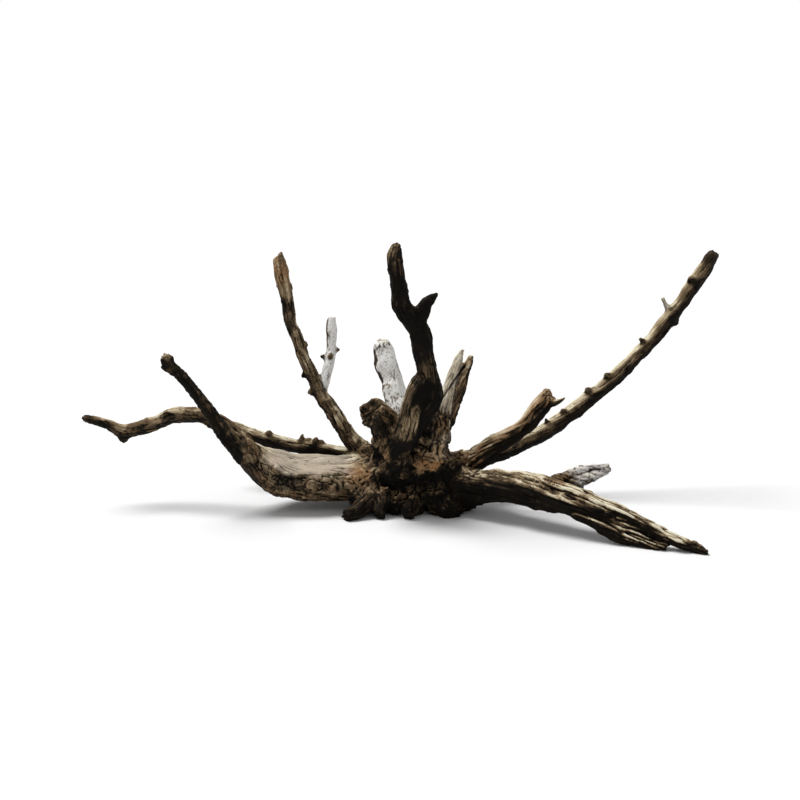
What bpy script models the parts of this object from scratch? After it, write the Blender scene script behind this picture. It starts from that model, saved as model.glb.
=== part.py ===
"""A piece of driftwood: the weathered root crown of a shrub, with the stumps of its limbs.

It grew as one piece, so it is one object. Every limb is a tapering curve swept with a lobed
section. A voxel remesh grows the limbs, the knots of the crown and the nubs into one skin,
two displacements give it the swells and hollows of worn wood, and a flat cut grinds the
low points where it rests.
"""

import math
import random

import bmesh
import bpy
from mathutils import Vector

MM = 0.001

# The crown's foot stands here, so that the middle of the whole piece's footprint is the origin.
# It is a little under the surface that the piece lies on, where the low points are worn flat.
CROWN_AT = Vector((-6.0, 27.5, -1.5)) * MM

# Each limb runs from the crown outwards through points (x, y, z, radius), in millimetres from
# the crown's foot: +X to the viewer's right, +Y away from the viewer, +Z up.
LIMBS = {
    # The thick root that leaves the crown to the left, rises and thins to the far left tip.
    "left_root": (
        (4, 0, 23, 18), (-20, -4, 23, 16), (-44, -8, 23, 14.5), (-72, -12, 23, 14.2),
        (-96, -15, 28, 14.3), (-110, -16, 37, 12.3), (-122, -14, 50, 9.8), (-134, -10, 61, 8.3),
        (-144, -6, 70, 7), (-156, -2, 75, 6), (-169, 2, 75, 5.6), (-184, 6, 74, 5.7),
        (-198, 8, 67, 5.8), (-210, 8, 63, 5), (-223, 6, 61, 5.3), (-235, 4, 67, 4.2),
        (-246, 2, 71, 3.2), (-254, 0, 73, 2),
    ),
    # The same root is broad: this strand behind it makes its flat bare top.
    "left_ledge": (
        (-8, 14, 26, 15), (-30, 15, 25, 13.5), (-54, 14, 26, 13), (-78, 10, 27.5, 12.5),
        (-98, 5, 33, 11), (-112, -2, 42, 9), (-126, -8, 54, 7),
    ),
    # Heartwood between the two, where the bark is gone.
    "left_bare": (
        (-10, 4, 28, 14), (-30, 4, 27, 12.5), (-54, 2, 27, 12), (-78, -1, 28, 11.5),
        (-96, -4, 33, 10.5), (-110, -8, 41, 9),
    ),
    "left_upper": (
        (-122, -14, 47, 9.5), (-132, -18, 58, 7.5), (-141, -21, 69, 6.2), (-149, -26, 83.5, 4.9),
        (-157, -30, 96.5, 4.5), (-165, -34, 109, 4.1), (-172, -36, 118, 4.2),
        (-179, -37, 124, 5), (-182, -37, 126, 5),
    ),
    "left_back": (
        (-14, 24, 34, 11), (-41, 34, 34, 6.7), (-62, 40, 36, 5.8), (-84, 46, 38, 6.2),
        (-105, 52, 41, 6.2), (-125, 57, 46, 5.8), (-138, 60, 51, 4.8), (-146, 62, 54, 3.6),
    ),
    "left_tall": (
        (-20, 18, 33, 11), (-35, 24, 44, 8), (-48, 28, 61, 6.2), (-57, 32, 74, 5.8),
        (-65, 36, 86, 5.6), (-77, 42, 110, 5.1), (-84, 46, 127, 5.1), (-90, 49, 143, 5),
        (-93, 51, 160, 5.2), (-96, 53, 177, 5.8), (-99, 54, 190, 5.6), (-100, 54, 197, 4.6),
    ),
    "pale_twig": (
        (-65, 36, 85, 5), (-61, 42, 99, 4.5), (-58, 48, 112, 4.8), (-57, 52, 124, 4.6),
        (-57, 55, 134, 5), (-57, 57, 142, 4.6), (-57, 58, 146, 4),
    ),
    "pale_stub": (
        (10, 14, 30, 15), (6, 27, 48, 13), (1, 38, 70, 11.3), (-4, 44, 83, 10.2),
        (-7, 50, 94, 8.8), (-12, 56, 108, 9.3), (-14, 60, 117, 8.6), (-15, 61, 123, 7),
        (-15, 61, 125.5, 5.2),
    ),
    # The short stub in front ends in a torn face that looks at the viewer.
    "front_stub": (
        (4, -3, 44, 16), (-6, -16, 61, 13.5), (-13, -29, 75, 12), (-18, -40, 85, 10.8),
        (-22, -47, 91, 10),
    ),
    # The tall dark limb in the middle leans out of the crown, with a second root along its left.
    "centre_root": (
        (-2, -14, 34, 13), (-3, -27, 46, 10), (0, -35, 58, 8.7), (5, -40, 71, 8.5),
        (8, -40, 87, 7.5), (12, -37, 101, 7.8), (18, -34, 113, 6),
    ),
    "centre": (
        (-3, -6, 36, 14), (0, -14, 52, 12), (6, -24, 68, 10.5), (15, -30, 83, 10),
        (24, -30, 98, 9.3), (22, -32, 115, 8), (18, -34, 134, 7.8), (15, -36, 150, 8),
        (8, -38, 161, 8), (1, -40, 170, 7.2), (0, -41, 178, 6.6), (-1, -42, 189, 6.4),
        (-3, -43, 205, 5.9), (-3, -43, 214, 4.6), (-3, -43, 218, 3.2),
    ),
    # A low web of wood closes the gap between the dark limb and the split stub.
    "centre_web": ((20, -2, 46, 11), (22, -5, 60, 9.5), (25, -8, 70, 7), (27, -10, 76, 4)),
    "centre_thorn": (
        (14, -37, 156, 6), (17, -37, 165, 6), (19, -37, 170, 5), (23, -37, 174, 3.7),
        (26, -37, 177, 2.4), (29, -37, 178, 1.5),
    ),
    # A split stub: two strands with a crack between them.
    "split_left": (
        (27, -10, 42, 12), (30, -9, 57, 9.5), (33, -6, 70, 7.8), (36, -2, 84, 6.4),
        (39, 2, 98.5, 5.4), (43, 4, 110, 4.8), (47, 6, 120, 3.8), (50, 7, 128, 2),
    ),
    "split_right": (
        (31, -8, 58, 7), (36, -4, 70, 6.5), (42, 2, 86, 6.3), (47, 6, 98, 6.3),
        (51, 9, 108.5, 5), (55, 11, 116, 3.8), (57, 11, 122, 2.2),
    ),
    "right_long": (
        (42, 2, 33, 11), (70, 14, 38, 8), (89, 20, 42.5, 7), (104, 26, 48.5, 6.8),
        (120, 32, 55, 6.9), (133, 37, 62.5, 6.9), (149, 42, 73.5, 6.5), (164, 46, 85, 6.4),
        (179, 50, 97, 6.1), (194, 54, 111, 6), (209, 58, 126, 6.2), (222, 62, 142, 6.3),
        (235, 66, 158, 6), (248, 70, 176, 6), (258, 74, 191, 6), (262, 75, 198, 4.6),
    ),
    "long_twig": (
        (226, 63, 147, 3.6), (222, 64, 154, 2.4), (220, 64, 158, 1.9), (218, 64, 162, 2.1),
    ),
    "right_stub": (
        (44, 0, 31, 11), (62, -6, 41.5, 9), (73, -9, 51, 8.2), (84, -12, 59.5, 7.6),
        (95, -15, 67, 7.2), (103, -17, 75, 6.9), (109, -18, 84, 7.2), (114, -19, 91, 6.9),
        (117, -20, 96, 5.8),
    ),
    "right_sliver": (
        (107, -17, 82, 4), (115, -20, 87, 3.3), (122, -23, 91, 2.6), (129, -25, 95, 1.5),
    ),
    # The thick fibrous limb that comes forward to the right and rests on its frayed end.
    "right_foot": (
        (36, -8, 18, 16), (62, -26, 23, 13.5), (86, -44, 28, 12), (108, -61, 29, 13),
        (125, -74, 28, 12), (143, -87, 25, 10.3), (158, -97, 19.5, 8),
    ),
    "foot_top": (
        (133, -76, 29, 7.6), (150, -90, 26.5, 7), (177, -108, 18.8, 5.6), (201, -121, 8.5, 5.2),
        (213, -127, 4.8, 4.6), (223, -133, 2.6, 3.4),
    ),
    "foot_middle": (
        (135, -88, 23, 5.3), (153, -99, 18, 4.8), (170, -108, 13, 4), (184, -115, 7, 2.7),
        (191, -118, 5, 1.6),
    ),
    "foot_low": (
        (121, -78, 22, 6), (139, -92, 17.5, 5.6), (154, -103, 12, 5.2), (166, -110, 7, 4.3),
        (178, -116, 4.5, 2.9), (187, -120, 5, 1.7),
    ),
    "foot_under": (
        (149, -98, 12, 4.3), (170, -110, 5.5, 4.2), (185, -118, 4, 3.7), (195, -123, 4, 2.9),
    ),
    "foot_stub": (
        (120, -62, 37, 6), (134, -66, 46, 3.7), (146, -70, 51, 2.7), (158, -74, 54, 1.8),
    ),
    "foot_stub_low": (
        (128, -65, 35, 6), (140, -69, 41, 4.8), (149, -72, 45, 4), (156, -74, 48.5, 3),
        (159, -75, 51, 2.1),
    ),
    # Short worn root ends under the crown. The first four show, and the last two are behind.
    "foot_a": ((-17, -22, 18, 9.5), (-27, -34, 12, 7), (-35, -42, 7, 6), (-43, -46, 5.5, 5)),
    "foot_b": ((-12, -26, 17, 9), (-15, -36, 11, 6), (-16, -44, 5, 4)),
    "foot_c": ((10, -22, 15, 12), (9, -35, 10, 8), (6, -43, 5, 5)),
    "foot_d": ((32, -20, 15, 13), (37, -32, 9, 10.5), (41, -40, 7, 8)),
    "foot_e": ((-12, 18, 20, 13), (-26, 36, 10, 9), (-35, 47, 4.5, 6)),
    "foot_f": ((24, 18, 20, 13), (33, 36, 10, 9), (39, 46, 4.5, 6)),
}

# Round masses (x, y, z, radius) that the crown is made of.
CROWN_MASSES = (
    (-12, -5, 26, 19), (8, -5, 31, 21), (28, -8, 27, 20), (42, -4, 22, 17), (0, -10, 19, 16),
    (24, -12, 18, 15), (8, 10, 30, 20), (30, 12, 27, 18), (-9, 14, 27, 17), (26, -2, 44, 12.5),
    (-33, -9, 19, 12), (-10, -4, 45, 13), (10, -4, 49, 15), (52, -8, 26, 13), (14, 26, 20, 15),
    (-4, 26, 20, 13), (34, 24, 20, 12), (12, 8, 46, 14), (23, 5, 49, 12), (0, 4, 44, 14),
    (-4, -22, 36, 12), (11, -22, 38, 13), (26, -19, 38, 13), (40, -14, 33, 12), (-20, -16, 28, 12),
    (-30, -22, 12, 9), (-16, -26, 10, 9), (-2, -27, 10, 9), (12, -27, 9, 9), (28, -26, 9, 9),
    (42, -24, 9, 9), (51, -20, 11, 9),
)

# Buds, knots and twig scars on the limbs (x, y, z, radius).
NUBS = (
    (-110, 52, 49, 2.6), (-82, 45, 47, 2.6), (-82, 45, 44, 3), (-76, 44, 45, 2.2),
    (-70, 41, 44, 3), (-66, 41, 43, 2.6), (-79, 43, 126, 3.4), (-80, 40, 100, 2.6),
    (-73, 36, 87, 2.8), (-58, 29, 68, 2.6), (-65, 47, 115, 2.6), (-51, 50, 120, 2.4),
    (-57, 43, 116, 2.6), (-151, -26, 91, 2.4), (-223, 5, 56, 4.6), (-179, -37, 127, 5.6),
    (-176, -38, 121, 3.4), (171, 46, 99, 2.9), (155, 42, 88, 2.7), (134, 35, 71.5, 2.5),
    (120, 30, 65, 2.5), (200, 54, 127.5, 2.8), (242, 66, 176, 2.8), (-97, -22, 20, 5),
    (-122, -21, 40, 4), (229, 65, 141, 3), (215, -128, 10, 2.6),
)

# The burls are small lumps scattered over the crown, each sunk by this share of its width.
BURL_COUNT = 70
BURL_RADIUS = (3.0 * MM, 6.5 * MM)
BURL_SINK = 0.55
BURL_SEED = 7
BALL_SUBDIVISIONS = 2

# A limb's section is a circle with lobes in two rhythms, and it turns slowly along the limb.
# Two limbs are wider than they are high, by the factors given here.
SECTION_SIDES = 28
LOBES = ((5, 0.07, 0.0), (8, 0.035, 1.0))
TWIST_PER_POINT = math.radians(17)
FLATTENED = {"left_root": 1.3, "right_foot": 1.1}
CURVE_STEPS = 6
WELD = 0.01 * MM

# The skin, and the worn relief on it. The finer relief is on the crown, up to the first of these
# distances from its middle, and has faded out at the second.
SKIN_VOXEL = 1.5 * MM
SWELL_SIZE = 16 * MM
SWELL_DEPTH = 3.0 * MM
GNARL_SIZE = 7 * MM
GNARL_DEPTH = 3.6 * MM
GNARL_REACH = (38 * MM, 75 * MM)
CROWN_MIDDLE = Vector((12, -4, 28)) * MM
SMOOTH_STRENGTH = 0.5
SMOOTH_PASSES = 3
FACETS = 11000

# The block that stands for the ground.
GROUND_WIDTH = 0.8
GROUND_DEPTH = 0.1

WOOD_COLOUR = (0.17, 0.115, 0.07, 1.0)
WOOD_ROUGHNESS = 0.85


def section_ring(name, flattening):
    """A limb's cross-section of radius 1, with lobes that the sweep draws out into ribs."""
    curve = bpy.data.curves.new(name, "CURVE")
    curve.dimensions = "2D"
    ring = curve.splines.new("POLY")
    ring.points.add(SECTION_SIDES - 1)
    for i, point in enumerate(ring.points):
        angle = math.tau * i / SECTION_SIDES
        swell = 1 + sum(depth * math.cos(count * angle + turn) for count, depth, turn in LOBES)
        point.co = (swell * flattening * math.cos(angle), swell * math.sin(angle), 0, 1)
    ring.use_cyclic_u = True
    obj = bpy.data.objects.new(name, curve)
    helpers.objects.link(obj)
    obj.hide_render = True
    obj.display_type = "WIRE"
    return obj


def limb_curve(name, points, section):
    """One limb's centre line, with its radius at each point."""
    curve = bpy.data.curves.new(name, "CURVE")
    curve.dimensions = "3D"
    curve.resolution_u = CURVE_STEPS
    curve.twist_mode = "Z_UP" if name in FLATTENED else "MINIMUM"
    curve.bevel_mode = "OBJECT"
    curve.bevel_object = section
    curve.use_fill_caps = True
    spline = curve.splines.new("BEZIER")
    spline.bezier_points.add(len(points) - 1)
    for i, (knot, (x, y, z, radius)) in enumerate(zip(spline.bezier_points, points)):
        knot.co = Vector((x, y, z)) * MM
        knot.radius = radius * MM
        knot.tilt = 0 if name in FLATTENED else i * TWIST_PER_POINT
        knot.handle_left_type = knot.handle_right_type = "AUTO"
    obj = bpy.data.objects.new(name, curve)
    helpers.objects.link(obj)
    return obj


def add_limbs(body):
    """Sweeps every limb and puts its mesh into the body."""
    round_section = section_ring("round_section", 1.0)
    for name, points in LIMBS.items():
        section = round_section
        if name in FLATTENED:
            section = section_ring(name + "_section", FLATTENED[name])
        curve = limb_curve(name, points, section)
        graph = bpy.context.evaluated_depsgraph_get()
        mesh = bpy.data.meshes.new_from_object(curve.evaluated_get(graph))
        body.from_mesh(mesh)
        bpy.data.meshes.remove(mesh)
        bpy.data.objects.remove(curve)
    bmesh.ops.remove_doubles(body, verts=body.verts, dist=WELD)


def add_ball(body, centre, radius):
    made = bmesh.ops.create_icosphere(body, subdivisions=BALL_SUBDIVISIONS, radius=radius)
    bmesh.ops.translate(body, verts=made["verts"], vec=centre)


def add_crown(body):
    """The crown's masses, with burls seated on their surface by a seeded draw."""
    for x, y, z, radius in CROWN_MASSES:
        add_ball(body, Vector((x, y, z)) * MM, radius * MM)
    draw = random.Random(BURL_SEED)
    for _ in range(BURL_COUNT):
        x, y, z, mass = draw.choice(CROWN_MASSES)
        out = Vector([draw.gauss(0, 1) for _ in range(3)]).normalized()
        radius = draw.uniform(*BURL_RADIUS)
        seat = mass * MM + radius * (1 - 2 * BURL_SINK)
        spot = Vector((x, y, z)) * MM + out * seat
        if spot.z > radius:
            add_ball(body, spot, radius)


def add_nubs(body):
    """A small ball at each bud and scar."""
    for x, y, z, radius in NUBS:
        add_ball(body, Vector((x, y, z)) * MM, radius * MM)


def one_skin(body):
    """One closed skin round everything, as a new object that stands in its place."""
    rough = bpy.data.meshes.new("rough_driftwood")
    body.to_mesh(rough)
    body.free()
    carrier = bpy.data.objects.new("rough_driftwood", rough)
    helpers.objects.link(carrier)
    remesh = carrier.modifiers.new("one_skin", "REMESH")
    remesh.mode = "VOXEL"
    remesh.voxel_size = SKIN_VOXEL
    graph = bpy.context.evaluated_depsgraph_get()
    skin = bpy.data.meshes.new_from_object(carrier.evaluated_get(graph))
    bpy.data.objects.remove(carrier)
    obj = bpy.data.objects.new("driftwood", skin)
    obj.location = CROWN_AT
    wood.objects.link(obj)
    return obj


def mark_crown(obj):
    """A vertex group that is full on the crown and fades out along the limbs."""
    group = obj.vertex_groups.new(name="crown")
    near, far = GNARL_REACH
    for vertex in obj.data.vertices:
        away = (vertex.co - CROWN_MIDDLE).length
        share = min(1.0, max(0.0, (far - away) / (far - near)))
        group.add([vertex.index], share, "REPLACE")


def relief(obj, name, size, depth, group=""):
    """Swells and hollows from a noise of the given size."""
    texture = bpy.data.textures.new(name, "CLOUDS")
    texture.noise_scale = size
    texture.noise_depth = 1
    displace = obj.modifiers.new(name, "DISPLACE")
    displace.texture = texture
    displace.texture_coords = "LOCAL"
    displace.strength = depth
    displace.mid_level = 0.5
    displace.vertex_group = group


def settle(obj):
    """Takes off the voxel steps, then leaves only the facets that the shape needs."""
    smooth = obj.modifiers.new("weathering", "SMOOTH")
    smooth.factor = SMOOTH_STRENGTH
    smooth.iterations = SMOOTH_PASSES
    facets = obj.modifiers.new("facets", "DECIMATE")
    triangles = len(obj.data.loops) - 2 * len(obj.data.polygons)
    facets.ratio = FACETS / triangles


def rest_flat(obj):
    """Cuts the low points off in the plane of the surface that the piece lies on."""
    mesh = bpy.data.meshes.new("ground_cutter")
    block = bmesh.new()
    bmesh.ops.create_cube(block, size=1.0)
    block.to_mesh(mesh)
    block.free()
    cutter = bpy.data.objects.new("ground_cutter", mesh)
    helpers.objects.link(cutter)
    cutter.scale = (GROUND_WIDTH, GROUND_WIDTH, GROUND_DEPTH)
    cutter.location.z = -GROUND_DEPTH / 2
    cutter.hide_render = True
    cutter.display_type = "WIRE"
    cut = obj.modifiers.new("rest_flat", "BOOLEAN")
    cut.operation = "DIFFERENCE"
    cut.solver = "EXACT"
    cut.object = cutter


def paint(obj):
    """One brown for the whole piece."""
    material = bpy.data.materials.new("weathered_wood")
    material.use_nodes = True
    surface = material.node_tree.nodes["Principled BSDF"]
    surface.inputs["Base Color"].default_value = WOOD_COLOUR
    surface.inputs["Roughness"].default_value = WOOD_ROUGHNESS
    surface.inputs["Metallic"].default_value = 0.0
    obj.data.materials.append(material)


def collection_named(name):
    collection = bpy.data.collections.new(name)
    bpy.context.scene.collection.children.link(collection)
    return collection


for old in list(bpy.data.objects):
    bpy.data.objects.remove(old)
wood = collection_named("driftwood")
helpers = collection_named("helpers")

body = bmesh.new()
add_limbs(body)
add_crown(body)
add_nubs(body)
driftwood = one_skin(body)
mark_crown(driftwood)
relief(driftwood, "swells", SWELL_SIZE, SWELL_DEPTH)
relief(driftwood, "gnarls", GNARL_SIZE, GNARL_DEPTH, "crown")
settle(driftwood)
rest_flat(driftwood)
paint(driftwood)
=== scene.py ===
import math
import random

import bmesh
import bpy
import numpy as np
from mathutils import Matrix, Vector, kdtree


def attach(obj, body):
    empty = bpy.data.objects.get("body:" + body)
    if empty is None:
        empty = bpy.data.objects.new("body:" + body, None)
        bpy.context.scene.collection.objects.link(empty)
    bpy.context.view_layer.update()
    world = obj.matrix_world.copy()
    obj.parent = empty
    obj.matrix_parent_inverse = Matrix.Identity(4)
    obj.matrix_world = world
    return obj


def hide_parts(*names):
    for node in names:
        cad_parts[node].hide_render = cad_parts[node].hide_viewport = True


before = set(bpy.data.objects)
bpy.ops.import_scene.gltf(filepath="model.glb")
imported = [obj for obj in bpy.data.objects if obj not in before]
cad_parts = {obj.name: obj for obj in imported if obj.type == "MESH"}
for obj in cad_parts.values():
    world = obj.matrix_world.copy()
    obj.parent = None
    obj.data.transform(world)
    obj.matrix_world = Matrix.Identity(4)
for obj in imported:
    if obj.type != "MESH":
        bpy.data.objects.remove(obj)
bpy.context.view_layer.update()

# Camera
# The photograph looks a little down on the piece, from its front.
# A long lens keeps the limbs that come forward from looking too large.
MM = 0.001
CROWN_AT = Vector((-6.0, 27.5, -1.5)) * MM
LOOK_AT = CROWN_AT + Vector((0, 0, 88)) * MM
CAMERA_RANGE = 1.2
CAMERA_TILT = math.radians(12)
FOCAL_LENGTH_MM = 67.5
FILM_WIDTH_MM = 36
NEAREST_SEEN = 0.05
lens = bpy.data.cameras.new("camera")
lens.lens = FOCAL_LENGTH_MM
lens.sensor_width = FILM_WIDTH_MM
lens.clip_start = NEAREST_SEEN
camera = bpy.data.objects.new("camera", lens)
bpy.context.scene.collection.objects.link(camera)
back = Vector((0, -math.cos(CAMERA_TILT), math.sin(CAMERA_TILT)))
camera.location = LOOK_AT + back * CAMERA_RANGE
camera.rotation_euler = (-back).to_track_quat("-Z", "Y").to_euler()
bpy.context.scene.camera = camera

# Driftwood: limbs and crown
# The root crown of a shrub, weathered to bare wood and dark bark. It grew as one piece.
# Each limb is a tapering stem, and they meet in a crown of burls with worn root ends below.
# A limb runs through points (x, y, z, radius), in millimetres from the crown's foot.
LIMBS = {
    "left_root": (
        (4, 0, 23, 18), (-20, -4, 23, 16), (-44, -8, 23, 14.5), (-72, -12, 23, 14.2),
        (-96, -15, 28, 14.3), (-110, -16, 37, 12.3), (-122, -14, 50, 9.8), (-134, -10, 61, 8.3),
        (-144, -6, 70, 7), (-156, -2, 75, 6), (-169, 2, 75, 5.6), (-184, 6, 74, 5.7),
        (-198, 8, 67, 5.8), (-210, 8, 63, 5), (-223, 6, 61, 5.3), (-235, 4, 67, 4.2),
        (-246, 2, 71, 3.2), (-254, 0, 73, 2),
    ),
    "left_ledge": (
        (-8, 14, 26, 15), (-30, 15, 25, 13.5), (-54, 14, 26, 13), (-78, 10, 27.5, 12.5),
        (-98, 5, 33, 11), (-112, -2, 42, 9), (-126, -8, 54, 7),
    ),
    "left_bare": (
        (-10, 4, 28, 14), (-30, 4, 27, 12.5), (-54, 2, 27, 12), (-78, -1, 28, 11.5),
        (-96, -4, 33, 10.5), (-110, -8, 41, 9),
    ),
    "left_upper": (
        (-122, -14, 47, 9.5), (-132, -18, 58, 7.5), (-141, -21, 69, 6.2), (-149, -26, 83.5, 4.9),
        (-157, -30, 96.5, 4.5), (-165, -34, 109, 4.1), (-172, -36, 118, 4.2),
        (-179, -37, 124, 5), (-182, -37, 126, 5),
    ),
    "left_back": (
        (-14, 24, 34, 11), (-41, 34, 34, 6.7), (-62, 40, 36, 5.8), (-84, 46, 38, 6.2),
        (-105, 52, 41, 6.2), (-125, 57, 46, 5.8), (-138, 60, 51, 4.8), (-146, 62, 54, 3.6),
    ),
    "left_tall": (
        (-20, 18, 33, 11), (-35, 24, 44, 8), (-48, 28, 61, 6.2), (-57, 32, 74, 5.8),
        (-65, 36, 86, 5.6), (-77, 42, 110, 5.1), (-84, 46, 127, 5.1), (-90, 49, 143, 5),
        (-93, 51, 160, 5.2), (-96, 53, 177, 5.8), (-99, 54, 190, 5.6), (-100, 54, 197, 4.6),
    ),
    "pale_twig": (
        (-65, 36, 85, 5), (-61, 42, 99, 4.5), (-58, 48, 112, 4.8), (-57, 52, 124, 4.6),
        (-57, 55, 134, 5), (-57, 57, 142, 4.6), (-57, 58, 146, 4),
    ),
    "pale_stub": (
        (10, 14, 30, 15), (6, 27, 48, 13), (1, 38, 70, 11.3), (-4, 44, 83, 10.2),
        (-7, 50, 94, 8.8), (-12, 56, 108, 9.3), (-14, 60, 117, 8.6), (-15, 61, 123, 7),
        (-15, 61, 125.5, 5.2),
    ),
    "front_stub": (
        (4, -3, 44, 16), (-5, -15, 60, 14.5), (-12, -27, 75, 13), (-17, -37, 84, 12),
        (-22, -47, 88.5, 11.3),
    ),
    "centre_root": (
        (-2, -14, 34, 13), (-3, -27, 46, 10), (0, -35, 58, 8.7), (5, -40, 71, 8.5),
        (8, -40, 87, 7.5), (12, -37, 101, 7.8), (18, -34, 113, 6),
    ),
    "centre": (
        (-3, -6, 36, 14), (0, -14, 52, 12), (6, -24, 68, 10.5), (15, -30, 83, 10),
        (24, -30, 98, 9.3), (22, -32, 115, 8), (18, -34, 134, 7.8), (15, -36, 150, 8),
        (8, -38, 161, 8), (1, -40, 170, 7.2), (0, -41, 178, 6.6), (-1, -42, 189, 6.4),
        (-3, -43, 205, 5.9), (-3, -43, 214, 4.6), (-3, -43, 218, 3.2),
    ),
    "centre_web": ((20, -2, 46, 11), (22, -5, 60, 9.5), (25, -8, 70, 7), (27, -10, 76, 4)),
    "centre_thorn": (
        (14, -37, 156, 6), (17, -37, 165, 6), (19, -37, 170, 5), (23, -37, 174, 3.7),
        (26, -37, 177, 2.4), (29, -37, 178, 1.5),
    ),
    "split_left": (
        (27, -10, 42, 12), (30, -9, 57, 9.5), (33, -6, 70, 7.8), (36, -2, 84, 6.4),
        (39, 2, 98.5, 5.4), (43, 4, 110, 4.8), (47, 6, 120, 3.8), (50, 7, 128, 2),
    ),
    "split_right": (
        (31, -8, 58, 7), (36, -4, 70, 6.5), (42, 2, 86, 6.3), (47, 6, 98, 6.3),
        (51, 9, 108.5, 5), (55, 11, 116, 3.8), (57, 11, 122, 2.2),
    ),
    "right_long": (
        (42, 2, 33, 11), (70, 14, 38, 8), (89, 20, 42.5, 7), (104, 26, 48.5, 6.8),
        (120, 32, 55, 6.9), (133, 37, 62.5, 6.9), (149, 42, 73.5, 6.5), (164, 46, 85, 6.4),
        (179, 50, 97, 6.1), (194, 54, 111, 6), (209, 58, 126, 6.2), (222, 62, 142, 6.3),
        (235, 66, 158, 6), (248, 70, 176, 6), (258, 74, 191, 6), (262, 75, 198, 4.6),
    ),
    "long_twig": (
        (226, 63, 147, 3.6), (222, 64, 154, 2.4), (220, 64, 158, 1.9), (218, 64, 162, 2.1),
    ),
    "right_stub": (
        (44, 0, 31, 11), (62, -6, 41.5, 9), (73, -9, 51, 8.2), (84, -12, 59.5, 7.6),
        (95, -15, 67, 7.2), (103, -17, 75, 6.9), (109, -18, 84, 7.2), (114, -19, 91, 6.9),
        (117, -20, 96, 5.8),
    ),
    "right_sliver": (
        (107, -17, 82, 4), (115, -20, 87, 3.3), (122, -23, 91, 2.6), (129, -25, 95, 1.5),
    ),
    "right_foot": (
        (36, -8, 18, 16), (62, -26, 23, 13.5), (86, -44, 28, 12), (108, -61, 29, 13),
        (125, -74, 28, 12), (143, -87, 25, 10.3), (158, -97, 19.5, 8),
    ),
    "foot_top": (
        (133, -76, 29, 7.6), (150, -90, 26.5, 7), (177, -108, 18.8, 5.6), (201, -121, 8.5, 5.2),
        (213, -127, 4.8, 4.6), (223, -133, 2.6, 3.4),
    ),
    "foot_middle": (
        (135, -88, 23, 5.3), (153, -99, 18, 4.8), (170, -108, 13, 4), (184, -115, 7, 2.7),
        (191, -118, 5, 1.6),
    ),
    "foot_low": (
        (121, -78, 22, 6), (139, -92, 17.5, 5.6), (154, -103, 12, 5.2), (166, -110, 7, 4.3),
        (178, -116, 4.5, 2.9), (187, -120, 5, 1.7),
    ),
    "foot_under": (
        (149, -98, 12, 4.3), (170, -110, 5.5, 4.2), (185, -118, 4, 3.7), (195, -123, 4, 2.9),
    ),
    "foot_stub": (
        (120, -62, 37, 6), (134, -66, 46, 3.7), (146, -70, 51, 2.7), (158, -74, 54, 1.8),
    ),
    "foot_stub_low": (
        (128, -65, 35, 6), (140, -69, 41, 4.8), (149, -72, 45, 4), (156, -74, 48.5, 3),
        (159, -75, 51, 2.1),
    ),
    "foot_a": ((-17, -22, 18, 9.5), (-27, -34, 12, 7), (-35, -42, 7, 6), (-43, -46, 5.5, 5)),
    "foot_b": ((-12, -26, 17, 9), (-15, -36, 11, 6), (-16, -44, 5, 4)),
    "foot_c": ((10, -22, 15, 12), (9, -35, 10, 8), (6, -43, 5, 5)),
    "foot_d": ((32, -20, 15, 13), (37, -32, 9, 10.5), (41, -40, 7, 8)),
    "foot_e": ((-12, 18, 20, 13), (-26, 36, 10, 9), (-35, 47, 4.5, 6)),
    "foot_f": ((24, 18, 20, 13), (33, 36, 10, 9), (39, 46, 4.5, 6)),
}
# The masses that make up the crown, and the nubs where twigs were: place and radius.
CROWN_MASSES = (
    (-12, -5, 26, 19), (8, -5, 31, 21), (28, -8, 27, 20), (42, -4, 22, 17), (0, -10, 19, 16),
    (24, -12, 18, 15), (8, 10, 30, 20), (30, 12, 27, 18), (-9, 14, 27, 17), (26, -2, 44, 12.5),
    (-33, -9, 19, 12), (-10, -4, 45, 13), (10, -4, 49, 15), (52, -8, 26, 13), (14, 26, 20, 15),
    (-4, 26, 20, 13), (34, 24, 20, 12), (12, 8, 46, 14), (23, 5, 49, 12), (0, 4, 44, 14),
    (-4, -22, 36, 12), (11, -22, 38, 13), (26, -19, 38, 13), (40, -14, 33, 12), (-20, -16, 28, 12),
    (-30, -22, 12, 9), (-16, -26, 10, 9), (-2, -27, 10, 9), (12, -27, 9, 9), (28, -26, 9, 9),
    (42, -24, 9, 9), (51, -20, 11, 9), (-11, -16, 56, 12),
)
NUBS = (
    (-110, 52, 49, 2.6), (-82, 45, 47, 2.6), (-82, 45, 44, 3), (-76, 44, 45, 2.2),
    (-70, 41, 44, 3), (-66, 41, 43, 2.6), (-79, 43, 126, 3.4), (-80, 40, 100, 2.6),
    (-73, 36, 87, 2.8), (-58, 29, 68, 2.6), (-65, 47, 115, 2.6), (-51, 50, 120, 2.4),
    (-57, 43, 116, 2.6), (-151, -26, 91, 2.4), (-223, 5, 56, 4.6), (-179, -37, 127, 5.6),
    (-176, -38, 121, 3.4), (171, 46, 99, 2.9), (155, 42, 88, 2.7), (134, 35, 71.5, 2.5),
    (120, 30, 65, 2.5), (200, 54, 127.5, 2.8), (242, 66, 176, 2.8), (-97, -22, 20, 5),
    (-122, -21, 40, 4), (229, 65, 141, 3), (215, -128, 10, 2.6),
)
# These limbs are so many times as wide as they are thick, and the others are even.
FLATTENED = {"left_root": 1.3, "right_foot": 1.1, "front_stub": 0.82}
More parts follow.
